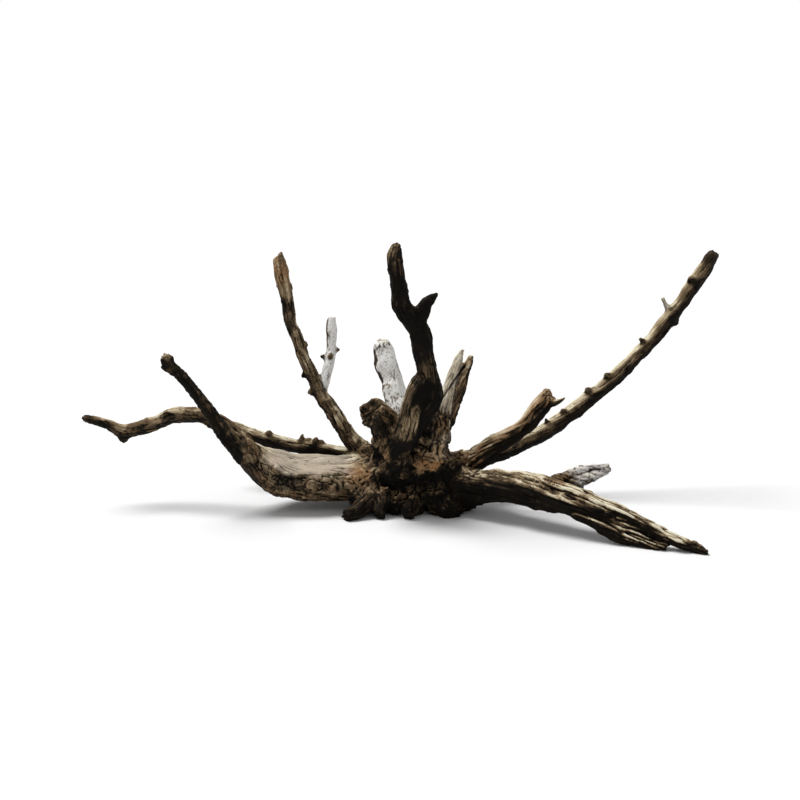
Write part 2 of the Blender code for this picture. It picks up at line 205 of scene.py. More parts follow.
# How each broken end looks, in millimetres: the depth of its splinters, the slant of its face
# and how far its core has rotted in.
ENDS = {
    "front_stub": (3.6, 1.5, 4.0), "left_upper": (1.0, 1.0, 1.0), "left_tall": (1.6, 4.0, 0.5),
    "right_stub": (3.6, 2.5, 3.0), "right_long": (1.2, 2.0, 1.0), "centre": (1.2, 1.0, 1.0),
    "split_left": (1.5, 0.5, 0.0), "split_right": (1.5, 0.5, 0.0), "pale_stub": (1.5, 1.0, 1.0),
    "pale_twig": (1.6, 0.5, 1.0), "left_back": (1.5, 1.0, 0.5), "foot_a": (1.2, 0.5, 1.0),
    "foot_b": (1.0, 0.5, 0.0), "foot_c": (1.0, 0.5, 0.0), "foot_d": (1.5, 0.5, 1.0),
}
CLEAN_END = (0.6, 0.3, 0.0)
# The rings that make the face of a broken end, as shares of the limb's radius.
END_RINGS = (1.0, 0.8, 0.55, 0.3, 0.05)
SPLINTER_WIDTH = 1.7
# A limb is a row of rings with so many corners, this far apart in millimetres.
SIDES = 36
STEP = 1.4
# A limb isn't round: it has flutes, five wide and eight narrow, which turn along it.
FLUTES = ((5, 0.06, 1), (8, 0.035, 2))
TURN = 0.012

# The random lattice behind the noise and the cells below, always drawn from the same seed.
lattice = np.random.RandomState(41)
shuffle = lattice.permutation(256).astype(np.int32)
shuffle = np.concatenate([shuffle, shuffle])
slopes = lattice.normal(size=(256, 3)).astype(np.float32)
slopes /= np.linalg.norm(slopes, axis=1, keepdims=True)
scatter = lattice.random_sample((256, 3)).astype(np.float32)


def noise(points):
    """Smooth noise of about -0.6 to 0.6 at each point, with features about one unit wide."""
    cell = np.floor(points).astype(np.int32)
    part = (points - cell).astype(np.float32)
    ease = part * part * part * (part * (part * 6 - 15) + 10)
    total = np.zeros(len(points), np.float32)
    for dx in (0, 1):
        for dy in (0, 1):
            for dz in (0, 1):
                spot = shuffle[(cell[:, 0] + dx) & 255]
                spot = shuffle[(spot + cell[:, 1] + dy) & 255]
                spot = shuffle[(spot + cell[:, 2] + dz) & 255]
                slope = slopes[spot]
                rise = (
                    slope[:, 0] * (part[:, 0] - dx)
                    + slope[:, 1] * (part[:, 1] - dy)
                    + slope[:, 2] * (part[:, 2] - dz)
                )
                share = ease[:, 0] if dx else 1 - ease[:, 0]
                share = share * (ease[:, 1] if dy else 1 - ease[:, 1])
                share = share * (ease[:, 2] if dz else 1 - ease[:, 2])
                total += share * rise
    return total


def cells(points):
    """Distances to the nearest and second nearest of points scattered one to a unit cell."""
    cell = np.floor(points).astype(np.int32)
    part = (points - cell).astype(np.float32)
    first = np.full(len(points), 9.0, np.float32)
    second = first.copy()
    for dx in (-1, 0, 1):
        for dy in (-1, 0, 1):
            for dz in (-1, 0, 1):
                spot = shuffle[(cell[:, 0] + dx) & 255]
                spot = shuffle[(spot + cell[:, 1] + dy) & 255]
                spot = shuffle[(spot + cell[:, 2] + dz) & 255]
                away = scatter[spot] + np.array((dx, dy, dz), np.float32) - part
                gap = np.sqrt((away * away).sum(1))
                second = np.minimum(second, np.maximum(first, gap))
                first = np.minimum(first, gap)
    return first, second


def ramp(values, low, high):
    """0 under low, 1 over high and an eased slope between."""
    share = np.clip((values - low) / (high - low), 0, 1)
    return share * share * (3 - 2 * share)


def centre_line(points):
    """Places along a limb a step apart, with radius, direction and two directions across."""
    knots = np.array(points, float)
    chord = np.linalg.norm(np.diff(knots[:, :3], axis=0), axis=1)
    at = np.concatenate([[0], np.cumsum(chord)])
    slope = np.gradient(knots, at, axis=0)
    count = max(3, int(at[-1] / STEP) + 1)
    along = np.linspace(0, at[-1], count)
    span = np.clip(np.searchsorted(at, along, side="right") - 1, 0, len(at) - 2)
    width = (at[span + 1] - at[span])[:, None]
    t = ((along - at[span]) / width[:, 0])[:, None]
    line = (
        (2 * t**3 - 3 * t**2 + 1) * knots[span]
        + (t**3 - 2 * t**2 + t) * width * slope[span]
        + (3 * t**2 - 2 * t**3) * knots[span + 1]
        + (t**3 - t**2) * width * slope[span + 1]
    )
    ahead = np.gradient(line[:, :3], axis=0)
    ahead /= np.linalg.norm(ahead, axis=1, keepdims=True)
    side = np.cross(ahead[0], (0.0, 0.0, 1.0))
    if np.linalg.norm(side) < 0.2:
        side = np.cross(ahead[0], (0.0, 1.0, 0.0))
    sides = []
    for direction in ahead:
        side = side - direction * side.dot(direction)
        side = side / np.linalg.norm(side)
        sides.append(side)
    sides = np.array(sides)
    return {
        "along": along, "at": line[:, :3], "radius": line[:, 3], "ahead": ahead,
        "side": sides, "up": np.cross(sides, ahead),
    }


def add_limb(body, name, number, line):
    """Rings round the centre line, and a broken face at the far end."""
    angle = np.arange(SIDES) * math.tau / SIDES
    wide = FLATTENED.get(name, 1.0)
    splinter, slant, rot = ENDS.get(name, CLEAN_END)
    rings = []
    for i in range(len(line["along"])):
        turn = angle + TURN * line["along"][i]
        swell = 1
        for count, deep, shift in FLUTES:
            swell = swell + deep * np.cos(count * turn + shift * number)
        reach = (line["radius"][i] * swell)[:, None]
        across = np.cos(angle)[:, None] * line["side"][i] * wide
        across = across + np.sin(angle)[:, None] * line["up"][i]
        rings.append(line["at"][i] + across * reach)
    last = len(rings) - 1
    radius = line["radius"][last]
    for share in END_RINGS:
        spots = np.stack([np.cos(angle), np.sin(angle)], 1) * share * radius / SPLINTER_WIDTH
        rough = np.column_stack([spots, np.full(SIDES, number * 7.3)])
        push = splinter * (noise(rough) * 1.6 + 0.3) + slant * share * np.cos(angle + number)
        push = push - rot * (1 - share)
        ring = line["at"][last] + (rings[last] - line["at"][last]) * share
        rings.append(ring + push[:, None] * line["ahead"][last])
    verts = [[body.verts.new(spot * MM) for spot in ring] for ring in rings]
    for near, far in zip(verts, verts[1:]):
        for k in range(SIDES):
            body.faces.new((near[k], near[(k + 1) % SIDES], far[(k + 1) % SIDES], far[k]))
    body.faces.new(reversed(verts[0]))
    body.faces.new(verts[-1])


def add_ball(body, centre, radius):
    made = bmesh.ops.create_icosphere(body, subdivisions=2, radius=radius * MM)
    bmesh.ops.translate(body, verts=made["verts"], vec=Vector(centre) * MM)


def skin_of(mesh, voxel):
    """One closed skin round everything in a mesh."""
    carrier = bpy.data.objects.new("carrier", mesh)
    bpy.context.scene.collection.objects.link(carrier)
    remesh = carrier.modifiers.new("skin", "REMESH")
    remesh.mode = "VOXEL"
    remesh.voxel_size = voxel
    graph = bpy.context.evaluated_depsgraph_get()
    skin = bpy.data.meshes.new_from_object(carrier.evaluated_get(graph))
    bpy.data.objects.remove(carrier)
    return skin


def read_points(mesh):
    flat = np.empty(len(mesh.vertices) * 3, np.float32)
    mesh.vertices.foreach_get("co", flat)
    return flat.reshape(-1, 3)


def read_normals(mesh):
    flat = np.empty(len(mesh.vertices) * 3, np.float32)
    mesh.vertex_normals.foreach_get("vector", flat)
    return flat.reshape(-1, 3)


def write_points(mesh, points):
    mesh.vertices.foreach_set("co", np.ascontiguousarray(points, np.float32).ravel())
    mesh.update()


def read_edges(mesh):
    flat = np.empty(len(mesh.edges) * 2, np.int32)
    mesh.edges.foreach_get("vertices", flat)
    return flat.reshape(-1, 2)


def average(edges, values):
    """Each point's mean over its neighbours."""
    count = len(values)
    links = np.bincount(edges[:, 0], minlength=count) + np.bincount(edges[:, 1], minlength=count)
    if values.ndim == 1:
        values = values[:, None]
    total = np.empty(values.shape, np.float32)
    for k in range(values.shape[1]):
        total[:, k] = np.bincount(edges[:, 0], values[edges[:, 1], k], count)
        total[:, k] += np.bincount(edges[:, 1], values[edges[:, 0], k], count)
    total /= np.maximum(links, 1)[:, None]
    return total[:, 0] if total.shape[1] == 1 else total


lines = {name: centre_line(points) for name, points in LIMBS.items()}
body = bmesh.new()
for number, (name, line) in enumerate(lines.items()):
    add_limb(body, name, number, line)
for x, y, z, radius in CROWN_MASSES:
    add_ball(body, (x, y, z), radius)
# Burls on the crown: how many, their smallest and largest radius in millimetres, and how deep
# they sit in it.
BURLS = ((70, 3.0, 6.5, 0.55), (150, 1.6, 3.4, 0.5))
draw = random.Random(7)
for count, smallest, largest, sink in BURLS:
    for _ in range(count):
        x, y, z, mass = draw.choice(CROWN_MASSES)
        out = Vector([draw.gauss(0, 1) for _ in range(3)]).normalized()
        radius = draw.uniform(smallest, largest)
        spot = Vector((x, y, z)) + out * (mass + radius * (1 - 2 * sink))
        if spot.z > radius:
            add_ball(body, spot, radius)
for x, y, z, radius in NUBS:
    add_ball(body, (x, y, z), radius)
rough = bpy.data.meshes.new("rough")
body.to_mesh(rough)
body.free()

# Driftwood: forks
# Wood grows a web into each fork, so the sharp corners between the limbs are filled here.
# The cracks of the split stub and between the strands of the frayed limb stay open.
COARSE_SKIN = 1.4 * MM
FINE_SKIN = 0.62 * MM
FILLING_ROUNDS = 26
FILLING_PACE = 0.75
coarse = skin_of(rough, COARSE_SKIN)
edges = read_edges(coarse)
for _ in range(FILLING_ROUNDS):
    points = read_points(coarse)
    normals = read_normals(coarse)
    away = average(edges, points) - points
    hollow = (away * normals).sum(1) / MM
    place = points / MM
    frayed = ramp(place[:, 0], 112, 126) * ramp(-place[:, 1], 55, 70)
    split = ramp(place[:, 2], 76, 90) * ramp(place[:, 0], 28, 36) * ramp(-place[:, 0], -66, -60)
    filling = ramp(hollow, 0.03, 0.12) * (1 - frayed) * (1 - split)
    write_points(coarse, points + away * (FILLING_PACE * filling)[:, None])
wood = skin_of(coarse, FINE_SKIN)

# Driftwood: swells and gnarls
# Wood swells over old branch roots, so no limb is smooth, and the crown is gnarled most of all.
# The skin is softened a little, and then moved in and out along its normals.
SOFTENING = 2
# Each has a name, the size of its bumps, their depth, and the group of points it is kept to.
SWELLS = (("swells", 16 * MM, 3.0 * MM, ""), ("gnarls", 7 * MM, 3.6 * MM, "gnarled"))
GNARLED_AT = (12, -4, 28)
GNARLED_REACH = (38, 75)


def soften(values, times):
    """Values on the mesh, averaged over their neighbours again and again."""
    for _ in range(times):
        values = average(edges, values)
    return values


edges = read_edges(wood)
write_points(wood, soften(read_points(wood), SOFTENING))
carrier = bpy.data.objects.new("carrier", wood)
bpy.context.scene.collection.objects.link(carrier)
place = read_points(wood) / MM
group = carrier.vertex_groups.new(name="gnarled")
shares = np.round(1 - ramp(np.linalg.norm(place - GNARLED_AT, axis=1), *GNARLED_REACH), 2)
for share in np.unique(shares):
    group.add(np.flatnonzero(shares == share).tolist(), float(share), "REPLACE")
for name, size, depth, where in SWELLS:
    texture = bpy.data.textures.new(name, "CLOUDS")
    texture.noise_scale = size
    texture.noise_depth = 1
    displace = carrier.modifiers.new(name, "DISPLACE")
    displace.texture = texture
    displace.texture_coords = "LOCAL"
    displace.strength = depth
    displace.mid_level = 0.5
    displace.vertex_group = where
graph = bpy.context.evaluated_depsgraph_get()
wood = bpy.data.meshes.new_from_object(carrier.evaluated_get(graph))
bpy.data.objects.remove(carrier)

# Driftwood: limbs and their habits
# Grain runs along each limb, so each point gets its place along and round the limb it is on.
# Each limb has weathered in its own way, and the crown in another.
# For each limb: ridge depth and width in millimetres, then how much bark is left, how light
# the wood is, how far its upper side is bleached and painted lighter as if lit, and its shares of
# rust and white.
HABITS = {
    "left_root": (0.8, 2.8, 0.62, 0.52, 0.45, 0.24, 0.0),
    "left_ledge": (0.6, 3.0, 0.38, 0.55, 0.8, 0.0, 0.05),
    "left_bare": (0.5, 3.0, 0.3, 0.60, 0.8, 0.0, 0.05),
    "left_upper": (0.5, 1.8, 0.6, 0.3, 0.6, 0.0, 0.0),
    "left_back": (0.6, 2.0, 0.5, 0.2, 1.4, 0.0, 0.0),
    "left_tall": (0.55, 2.0, 0.5, 0.58, 0.4, 0.12, 0.0),
    "pale_twig": (0.25, 1.8, 0.05, 0.8, 0.3, 0.0, 1.0),
    "pale_stub": (0.5, 2.4, 0.05, 0.8, 0.3, 0.0, 1.0),
    "front_stub": (1.0, 3.0, 0.45, 0.56, 0.3, 0.3, 0.0),
    "centre_root": (0.9, 3.0, 0.6, 0.24, 0.4, 0.03, 0.0),
    "centre": (0.9, 3.2, 0.6, 0.2, 0.45, 0.1, 0.0),
    "centre_web": (0.6, 2.6, 0.9, 0.05, 0.2, 0.0, 0.0),
    "centre_thorn": (0.4, 2.0, 0.7, 0.04, 0.3, 0.0, 0.0),
    "split_left": (0.8, 2.2, 0.15, 0.7, 0.5, 0.05, 0.15),
    "split_right": (1.5, 2.6, 0.5, 0.46, 0.6, 0.3, 0.0),
    "right_long": (0.5, 2.2, 0.45, 0.34, 0.9, 0.05, 0.0),
    "long_twig": (0.3, 1.5, 0.2, 0.6, 0.6, 0.0, 0.2),
    "right_stub": (2.6, 3.4, 0.35, 0.3, 1.0, 0.5, 0.0),
    "right_sliver": (0.5, 1.6, 0.3, 0.30, 0.9, 0.1, 0.0),
    "right_foot": (1.5, 3.0, 0.5, 0.1, 1.5, 0.03, 0.0),
    "foot_top": (0.8, 2.6, 0.0, 0.36, 0.9, 0.0, 0.0),
    "foot_middle": (0.8, 2.6, 0.0, 0.34, 0.9, 0.0, 0.0),
    "foot_low": (0.8, 2.6, 0.05, 0.28, 0.9, 0.0, 0.0),
    "foot_under": (0.8, 2.2, 0.3, 0.20, 0.6, 0.0, 0.0),
    "foot_stub": (1.0, 2.0, 0.0, 0.5, 0.5, 0.0, 0.62),
    "foot_stub_low": (1.0, 2.0, 0.0, 0.4, 0.5, 0.0, 0.55),
}
HABIT_OF_CROWN = (0.9, 2.8, 0.6, 0.27, 0.3, 0.25, 0.0)
# Places and distances in millimetres. A pair says where a change begins and where it ends.
CROWN_MIDDLE = np.array((8.0, -2.0, 30.0))
CROWN_REACH = (30.0, 58.0)
OFF_THE_LIMBS = (2.5, 5.0)
SEAM_WIDTH = 0.8
TORN_REACH = (-0.3, 1.0)
FAR = 99.0
MARGIN = 5
NORMAL_SOFTENING = 8
HABIT_SOFTENING = 6
# The grain of the next limb is turned and moved on by so much, so that no two are alike.
GRAIN_TURNED = 1.3
GRAIN_MOVED = 57.0


def nearest_limbs(place):
    """For points in millimetres: the limb each belongs to, and where it is along and round it."""
    count = len(place)
    found = {
        "gap": np.full(count, FAR, np.float32), "next": np.full(count, FAR, np.float32),
        "limb": np.zeros(count, np.int32), "along": np.zeros(count, np.float32),
        "angle": np.zeros(count, np.float32), "radius": np.ones(count, np.float32),
        "left": np.zeros(count, np.float32),
    }
    for number, line in enumerate(lines.values()):
        low = (line["at"] - line["radius"][:, None]).min(0) - MARGIN
        high = (line["at"] + line["radius"][:, None]).max(0) + MARGIN
        near = np.flatnonzero(((place > low) & (place < high)).all(1))
        spots = place[near]
        gap = np.full(len(near), FAR, np.float32)
        pick = np.zeros(len(near), np.int32)
        for k, centre in enumerate(line["at"]):
            away = np.sqrt(((spots - centre) ** 2).sum(1)) - line["radius"][k]
            closer = away < gap
            gap[closer] = away[closer]
            pick[closer] = k
        better = gap < found["gap"][near]
        found["next"][near] = np.where(
            better, found["gap"][near], np.minimum(found["next"][near], gap)
        )
        won = near[better]
        k = pick[better]
        out = place[won] - line["at"][k]
        along = line["along"][k] + (out * line["ahead"][k]).sum(1)
        found["gap"][won] = gap[better]
        found["limb"][won] = number
        found["along"][won] = along
        found["left"][won] = line["along"][-1] - along
        upward = (out * line["up"][k]).sum(1)
        found["angle"][won] = np.arctan2(upward, (out * line["side"][k]).sum(1))
        found["radius"][won] = line["radius"][k]
    return found


def straightened(found):
    """Each point's place on its limb as if the limb were straight, so that grain runs along it."""
    angle = found["angle"] + found["along"] * TURN + found["limb"] * GRAIN_TURNED
    return np.stack(
        [
            np.cos(angle) * found["radius"], np.sin(angle) * found["radius"],
            found["along"] + found["limb"] * GRAIN_MOVED,
        ], 1
    )


edges = read_edges(wood)
points = read_points(wood)
place = points / MM
broad = soften(read_normals(wood), NORMAL_SOFTENING)
broad /= np.linalg.norm(broad, axis=1, keepdims=True)
found = nearest_limbs(place)
table = np.array([HABITS.get(name, HABIT_OF_CROWN) for name in LIMBS], np.float32)
habit = table[found["limb"]]
crown = 1 - ramp(np.linalg.norm(place - CROWN_MIDDLE, axis=1), *CROWN_REACH)
crown = np.maximum(crown, ramp(found["gap"], *OFF_THE_LIMBS))
habit = habit * (1 - crown)[:, None] + np.array(HABIT_OF_CROWN, np.float32) * crown[:, None]
depth, width, bark, tone, sun, rust, white = soften(habit, HABIT_SOFTENING).T
seam = np.exp(-np.clip(found["next"] - found["gap"], 0, 9) / SEAM_WIDTH)
torn = 1 - ramp(found["left"], *TORN_REACH)
limb_share = (1 - crown) * (1 - torn)

# Driftwood: ridges, cracks and strands
# Ridges run along the grain. Their valleys are sharp, as between fibres that have parted.
# Where noise is called, places are divided by the size of its features in millimetres, and
# the number that is added only picks another part of the pattern.
grain = straightened(found)
wave = np.stack([noise(place / 11 + shift) for shift in (0, 40, 80)], 1) * 0.9
ridge_place = grain / np.stack([width, width, width * 14], 1) + wave * (0.5, 0.5, 0.1)
ridges = np.abs(noise(ridge_place)) * 2.2
ripples = noise(ridge_place * (0.6, 0.6, 0.8) + 17)
fine = np.abs(noise(ridge_place * (2.3, 2.3, 1.6) + 31)) * 2.2
crack_place = grain / (4.5, 4.5, 55) + wave * (0.35, 0.35, 0.05) + 77
opened = ramp(noise(place / 16 + 5), -0.1, 0.25)
cracks = (1 - ramp(np.abs(noise(crack_place)), 0.0, 0.06)) * opened * limb_share
# The frayed limb has parted into long strands with deep grooves, all running one way.
STRANDS_FROM = np.array((120.0, -70.0, 28.0))
STRANDS_TO = np.array((215.0, -128.0, 5.0))
STRAND_SIZE = (3.3, 2.9, 95)
HAIR_SIZE = (1.5, 1.4, 30)
STRANDS_ALONG = (0, 0, 900)
run = (STRANDS_TO - STRANDS_FROM) / np.linalg.norm(STRANDS_TO - STRANDS_FROM)
beside = np.cross(run, (0.0, 0.0, 1.0))
beside /= np.linalg.norm(beside)
above = np.cross(beside, run)
strand_place = np.stack([place @ beside, place @ above, place @ run], 1)
frayed = ramp(place[:, 0], 96, 126) * ramp(-place[:, 1], 48, 66) * (1 - torn)
frayed = frayed * (1 - np.clip(white, 0, 1))
strands = np.abs(noise(strand_place / STRAND_SIZE + wave * (0.14, 0.14, 0) + 5)) * 2.4
hairs = np.abs(noise(strand_place / HAIR_SIZE + 45)) * 2.2
grain = grain * (1 - frayed)[:, None] + (strand_place + STRANDS_ALONG) * frayed[:, None]

# Driftwood: crags, lumps and holes
# The crown is craggy: sharp crests and ribs, lumps, and holes where bark and rot fell out.
# Its wood is cracked into blocks, and insects have left small pits in it.
crag_place = place / 12 + wave * 0.5
crags = 1 - np.abs(noise(crag_place)) * 3.0
crags += 0.55 * (1 - np.abs(noise(crag_place * 2.2 + 9)) * 3.0)
ribs = np.abs(noise(place / (3.6, 3.6, 16) + wave * (1.2, 1.2, 0.3) + 37)) * 2.2
block_gap, block_next = cells(place / (9, 9, 14) + wave * 0.7 + 91)
blocks = ramp(block_next - block_gap, 0.0, 0.22)
lump_gap, _ = cells(place / 7.5 + wave * 0.4)
lumps = 1 - np.clip(lump_gap, 0, 1) ** 1.5
lumpy = ramp(noise(place / 18 + 70), -0.15, 0.2)
rough_fine = np.abs(noise(place / 2.6 + 3)) * 2.0
rough_finer = np.abs(noise(place / 1.2 + 51)) * 2.0
hole_gap, _ = cells(place / 14 + wave * 0.4 + 61)
holes = (1 - ramp(hole_gap, 0.1, 0.3)) * ramp(noise(place / 25 + 11), -0.05, 0.15)
pit_gap, _ = cells(place / 8.5 + 23)
pits = (1 - ramp(pit_gap, 0.1, 0.19)) * ramp(noise(place / 20 + 2), 0.1, 0.3)

# Driftwood: bark and bare top
# Bark is left in plates with cracks between them, and has gone from where the sun reaches.
# The top of the thick left root is a smooth bare ledge with a rim of bark along its front.
BLEACHED_AND_LIT_FROM = np.array((-0.3, -0.02, 0.95))
# The first three limbs make up the thick left root.
LEFT_ROOT_LIMBS = 3
# Where the ledge and its rim begin or end: heights, distances to the left and forward, how far
# inside a limb's even skin, and how level the wood is.
LEDGE_HEIGHT = (32.0, 34.5)
LEDGE_START = (34, 46)
LEDGE_END = (98, 112)
LEDGE_BACK = (-24, -20)
LEDGE_DEPTH = (-9, -5)
LEDGE_SLOPE = (0.66, 0.76)
RIM_HEIGHT = (20, 26)
RIM_END = (98, 118)
RIM_FRONT = (-6, 8)
BARK_EDGE = (-0.035, 0.035)
PLATE_SIZE = (3.4, 3.4, 6.5)
patchy = noise(place / 13 + 21) + 0.55 * noise(place / 5 + 8) + 0.3 * noise(grain / (2, 2, 9))
# Upper sides are bleached, and are also painted lighter, as light from above. Undersides are
# painted darker, as shade.
bleached_and_lit = ramp((broad * BLEACHED_AND_LIT_FROM).sum(1), 0.15, 1.0)
under = ramp(-broad[:, 2], -0.4, 0.65)
on_left = found["limb"] < LEFT_ROOT_LIMBS
past_crown = ramp(-place[:, 0], *LEDGE_START)
ledge = ramp(place[:, 2] + 2.5 * patchy, *LEDGE_HEIGHT) * past_crown
ledge = ledge * (1 - ramp(-place[:, 0], *LEDGE_END)) * ramp(-place[:, 1], *LEDGE_BACK)
ledge = ledge * ramp(found["gap"], *LEDGE_DEPTH)
level = broad[:, 2] + 0.15 * patchy + 0.16 * ramp(-broad[:, 1], 0.0, 0.3)
ledge = ledge * on_left * ramp(level, *LEDGE_SLOPE)
ledge_edge = 4 * ledge * (1 - ledge) * ramp(-broad[:, 1], 0.2, 0.5)
rim = ramp(place[:, 2], *RIM_HEIGHT) * on_left * past_crown
rim = rim * (1 - ramp(-place[:, 0], *RIM_END)) * ramp(-place[:, 1], *RIM_FRONT)
bark_level = (bark - 0.5) * 1.5 - 0.5 * sun * bleached_and_lit - 0.05 + patchy + 0.8 * rim - 1.9 * ledge
bark_on = ramp(bark_level, *BARK_EDGE)
peeling = np.exp(-((bark_level / 0.07) ** 2)) * (1 - white)
peeling = peeling * ramp(noise(place / 9 + 4), -0.1, 0.2)
plate_gap, plate_next = cells(grain / PLATE_SIZE + wave * 0.3 + 13)
plates = ramp(plate_next - plate_gap, 0.02, 0.2)

# Driftwood: carving
# All of this is carved into the mesh itself, along its softened normals.
# Depths are in millimetres.
STRAND_DEPTH = 2.9
HAIR_DEPTH = 0.5
BARK_THICKNESS = 0.55
CRAG_DEPTH = 2.0
LUMP_DEPTH = 1.6
HOLE_DEPTH = 2.6
RIB_DEPTH = 1.0
BLOCK_DEPTH = 2.2
ROUGH_DEPTH = (0.12, 1.6)
FINER_DEPTH = (0.07, 0.6)
GRIT_DEPTH = 0.35
PIT_DEPTH = 0.9
SEAM_DEPTH = 0.35
DEEPEST = -6.0
HIGHEST = 3.2
calm = 1 - 0.6 * seam
lift = depth * ((ridges - 0.45) * 0.8 + ripples * 0.9 + (fine - 0.45) * 0.3)
lift = lift * calm * (1 - 0.8 * crown) * (1 - torn) * (1 - ledge) * (1 - 0.7 * frayed)
lift += frayed * (STRAND_DEPTH * (np.minimum(strands, 0.9) - 0.6) + HAIR_DEPTH * (hairs - 0.45))
lift -= cracks * (0.5 + depth * 0.9)
plate_cracks = (0.4 + 0.5 * rim) * (plates - 1)
lift += bark_on * (BARK_THICKNESS + plate_cracks) * (1 - white) * (1 - 0.5 * crown)
high = ramp(place[:, 2], 28, 42)
craggy = crown * (1 - 0.35 * high)
lumpy_lift = LUMP_DEPTH * lumpy * (lumps - 0.5) * (1 - high)
lift += craggy * (CRAG_DEPTH * (crags - 0.8) + lumpy_lift - HOLE_DEPTH * holes)
lift += craggy * RIB_DEPTH * (ribs - 0.45) * (1 - 0.5 * lumpy)
blocky = 0.4 + 0.6 * ramp(noise(place / 22 + 33), -0.2, 0.1)
lift += crown * BLOCK_DEPTH * (blocks - 0.75) * blocky
grit = GRIT_DEPTH * craggy * noise(place / 2.2 + 3)
lift += (ROUGH_DEPTH[0] + ROUGH_DEPTH[1] * torn) * (rough_fine - 0.4) + grit
lift += (FINER_DEPTH[0] + FINER_DEPTH[1] * torn) * (rough_finer - 0.4)
# Bark curls away round the foot of the split stub.
CURLS_AT = (34, -12, 75)
CURLS_REACH = (10, 10, 8)
CURL_DEPTH = 2.2
curls = 1 - ramp(np.linalg.norm((place - CURLS_AT) / CURLS_REACH, axis=1), 0.6, 1.1)
curls = curls * ramp(-broad[:, 1], -0.1, 0.3)
lift += curls * (CURL_DEPTH * (ribs - 0.5) + 1.0 * (crags - 0.8))
# The split stub is cracked from its tip downwards, as seen from the front: ends as x and z.
SPLIT_FROM = np.array((51.5, 114.0))
SPLIT_TO = np.array((31.0, 88.0))
SPLIT_DEPTH = 2.6
down = SPLIT_TO - SPLIT_FROM
flat = place[:, (0, 2)] - SPLIT_FROM
share = np.clip(flat @ down / down.dot(down), 0, 1)
off = flat - share[:, None] * down + 0.9 * noise(place / 6)[:, None]
split = 1 - ramp(np.linalg.norm(off, axis=1), 0.5, 1.5)
split = split * ramp(-broad[:, 1], -0.1, 0.2)
split = split * ramp(-place[:, 1], -10, -6) * ramp(place[:, 0], 29, 31)
lift -= SPLIT_DEPTH * split * (1 - 0.6 * share)
# Hollows in the crown: place, reach and depth in millimetres.
DENTS = (
    ((10, -33, 39), 9, 3.2), ((-14, -32, 40), 8, 3.0), ((27, -24, 56), 12, 3.0),
    ((40, -22, 36), 9, 3.0), ((2, -30, 24), 8, 3.0), ((-24, -24, 18), 8, 3.0),
    ((26, 30, 34), 12, 4.0), ((-12, 30, 30), 10, 3.5),
)
for spot, reach, deep in DENTS:
    near = 1 - ramp(np.linalg.norm(place - spot, axis=1), 0, reach)
    lift -= near * deep
lift -= pits * PIT_DEPTH
lift -= seam * SEAM_DEPTH
lift = np.clip(lift, DEEPEST, HIGHEST)
points = points + broad * (lift * MM)[:, None]
write_points(wood, points)

# Driftwood: marks for the finish
# Hollows are painted darker, as shade, and crests lighter, as rubbed wear and painted highlight,
# so the bend of the carved surface is measured.
# Each mark says for every point how light, bare, bleached or rust brown the wood is there; the
# tone carries painted light and shade as well.
normals = read_normals(wood)
bend = ((soften(points, 1) - points) * normals).sum(1) / MM
bend_wide = ((soften(points, 6) - points) * normals).sum(1) / MM
hollow = ramp(bend, 0.02, 0.2) * 0.5 + ramp(bend_wide, 0.08, 0.7) * 0.7
crest = ramp(-bend_wide, 0.05, 0.5)
hollow = np.clip(
    hollow + (cracks + split) * 0.7 + (pits + holes * crown) * 0.6 + seam * 0.25, 0, 1
)
# Patches of other colour: place and size in millimetres, how light the wood is there, and its
# share of rust. A light patch has also lost its bark.
# The darkest patches, low round the crown's foot near the floor, are painted shade.
PATCHES = (
    ((32, -22, 53), 9, 0.74, 0.5), ((24, -30, 44), 13, 0.66, 0.95), ((20, -30, 53), 9, 0.6, 0.8),
    ((15, -32, 40), 9, 0.5, 0.7), ((0, -32, 49), 9, 0.42, 0.1), ((3, -32, 36), 9, 0.38, 0.0),
    ((0, -35, 58), 10, 0.46, 0.1), ((-34, -24, 34), 16, 0.62, 0.6), ((5, -46, 72), 8, 0.52, 0.0),
    ((8, -46, 79), 8, 0.6, 0.0), ((12, -46, 88), 7, 0.52, 0.0), ((-8, -30, 54), 14, 0.5, 0.4),
    ((46, -14, 46), 10, 0.42, 0.1), ((-98, 53, 187), 20, 0.55, 0.6), ((22, -37, 24), 9, 0.4, 0.0),
    ((-24, -32, 12), 8, 0.42, 0.0), ((-40, -40, 6), 18, 0.0, 0.0), ((-16, -42, 6), 13, 0.0, 0.0),
    ((7, -42, 7), 13, -0.05, 0.0), ((20, -34, 118), 13, 0.28, 0.3),
    ((-25, -52, 91), 15, 0.08, 0.0), ((262, 75, 199), 15, 0.1, 0.0),
    ((-255, 0, 73), 14, 0.15, 0.0), ((223, -133, 3), 10, 0.05, 0.0),
    ((122, -68, 36), 16, 0.38, 0.35), ((117, -20, 98), 8, 0.74, 0.0),
    ((72, -52, 18), 26, 0.12, 0.0), ((50, -24, 14), 30, -0.08, 0.0),
    ((30, -36, 12), 12, -0.05, 0.0), ((22, -34, 8), 16, 0.1, 0.0), ((32, -14, 72), 13, 0.26, 0.3),
    ((14, -30, 28), 9, 0.05, 0.0), ((-223, 5, 56), 7, 0.1, 0.0), ((105, -74, 16), 18, 0.15, 0.0),
)
LIGHT_PATCH = 0.4
PATCH_STRENGTH = 0.85
LEDGE_TONE = 0.73
LEDGE_WHITE = 0.2
# Painted light and shade: the upper sides are lighter and the undersides darker, less so on the
# thick left root.
shade = 0.6 - 0.35 * on_left
tone = tone + 0.62 * sun * (bleached_and_lit - 0.35) - shade * (under - 0.2) + 0.22 * patchy
tone = tone + 0.25 * (0.5 - bark_on) + 0.15 * peeling - 0.03
